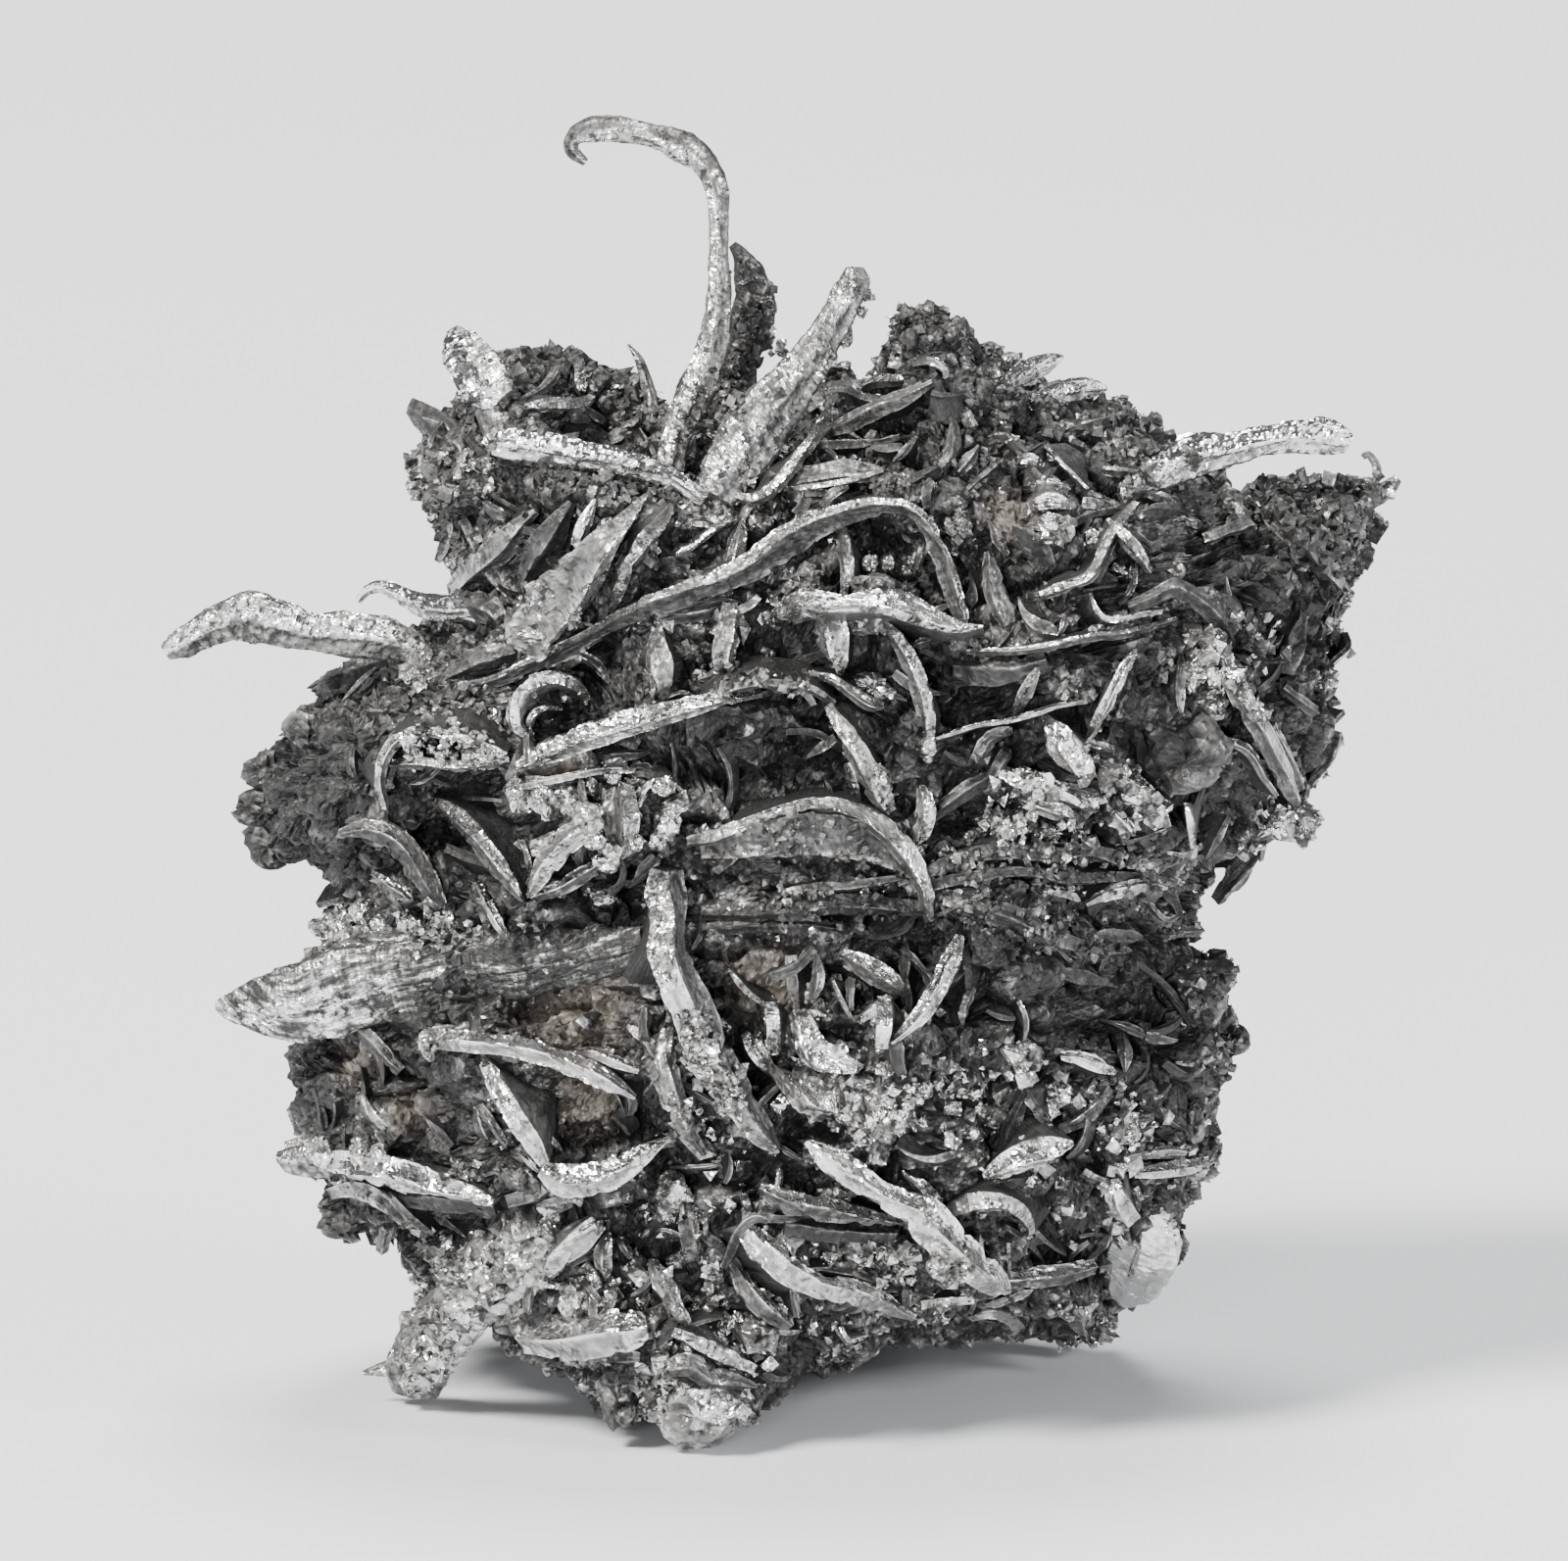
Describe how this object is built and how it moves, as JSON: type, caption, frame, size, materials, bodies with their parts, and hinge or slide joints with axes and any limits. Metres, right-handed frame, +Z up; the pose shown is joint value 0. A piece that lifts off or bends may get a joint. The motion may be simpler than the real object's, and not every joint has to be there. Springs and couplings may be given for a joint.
{
  "type": "native silver specimen",
  "caption": "Ragged clump of native silver: tarnished grainy crust with bright curled ribbons, blades and nuggets, and one hooked wire rising from the top. It stands on small flat soles.",
  "frame": {"origin": "middle of the footprint's bounding box, on the surface that the specimen stands on", "axes": "+Z up through the hooked wire, -Y towards the face with the long curled ribbons, +X to that face's right"},
  "size_m": [0.0449, 0.0276, 0.0479],
  "materials": {
    "silver": "tarnished native silver: grey grainy crust, near-black in the hollows, bright worn ridges"
  },
  "bodies": {
    "root": {"native_silver": "silver"}
  },
  "joints": []
}
